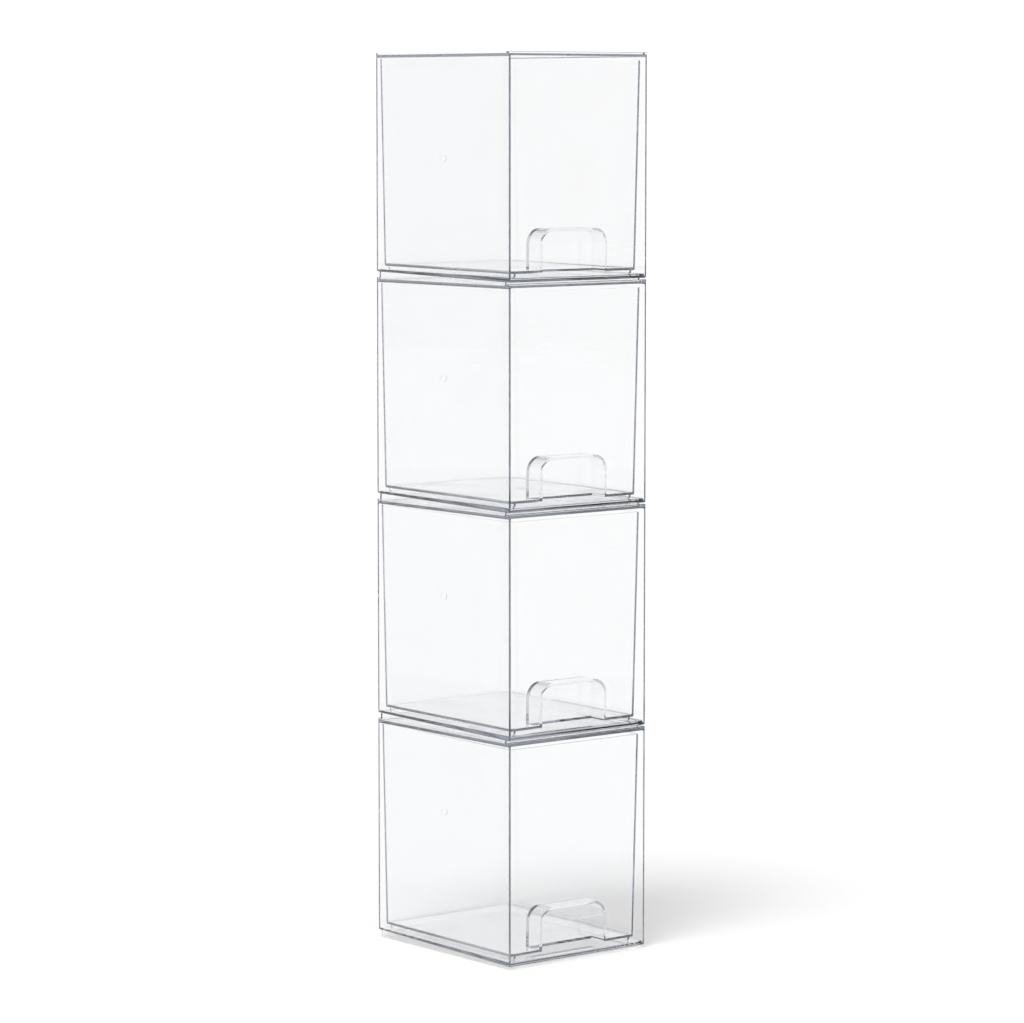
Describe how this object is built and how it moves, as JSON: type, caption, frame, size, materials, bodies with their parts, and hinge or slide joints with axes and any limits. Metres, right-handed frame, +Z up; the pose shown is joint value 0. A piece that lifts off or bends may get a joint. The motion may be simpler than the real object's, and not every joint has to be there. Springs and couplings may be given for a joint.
{
  "type": "stackable makeup organizer drawers",
  "caption": "Tower of clear stacking drawer units: each open-front casing nests on the rim of the one below and holds a drawer pulled by a recessed arch.",
  "frame": {"origin": "centre of the stack's footprint, on the surface it stands on", "axes": "+Z up; -Y is the way the drawers pull out, so the open fronts face -Y; +X to the right of someone who faces the back of the stack from its front"},
  "size_m": [0.132, 0.16, 0.6734],
  "materials": {
    "clear_casing": "polished clear",
    "clear_drawer": "polished clear"
  },
  "bodies": {
    "casing_1": {"casing_1": "clear_casing"},
    "drawer_1": {"drawer_1": "clear_drawer"},
    "casing_2": {"casing_2": "clear_casing"},
    "drawer_2": {"drawer_2": "clear_drawer"},
    "casing_3": {"casing_3": "clear_casing"},
    "drawer_3": {"drawer_3": "clear_drawer"},
    "casing_4": {"casing_4": "clear_casing"},
    "drawer_4": {"drawer_4": "clear_drawer"}
  },
  "joints": [
    {"name": "casing_2_lift", "type": "slide", "parent": "casing_1", "child": "casing_2", "axis": [0, 0, 1], "range_m": [0, 0.02]},
    {"name": "casing_3_lift", "type": "slide", "parent": "casing_2", "child": "casing_3", "axis": [0, 0, 1], "range_m": [0, 0.02]},
    {"name": "casing_4_lift", "type": "slide", "parent": "casing_3", "child": "casing_4", "axis": [0, 0, 1], "range_m": [0, 0.02]},
    {"name": "drawer_1_slide", "type": "slide", "parent": "casing_1", "child": "drawer_1", "axis": [0, -0.9999, -0.0101], "range_m": [0, 0.115]},
    {"name": "drawer_2_slide", "type": "slide", "parent": "casing_2", "child": "drawer_2", "axis": [0, -0.9999, -0.0101], "range_m": [0, 0.115]},
    {"name": "drawer_3_slide", "type": "slide", "parent": "casing_3", "child": "drawer_3", "axis": [0, -0.9999, -0.0101], "range_m": [0, 0.115]},
    {"name": "drawer_4_slide", "type": "slide", "parent": "casing_4", "child": "drawer_4", "axis": [0, -0.9999, -0.0101], "range_m": [0, 0.115]}
  ]
}
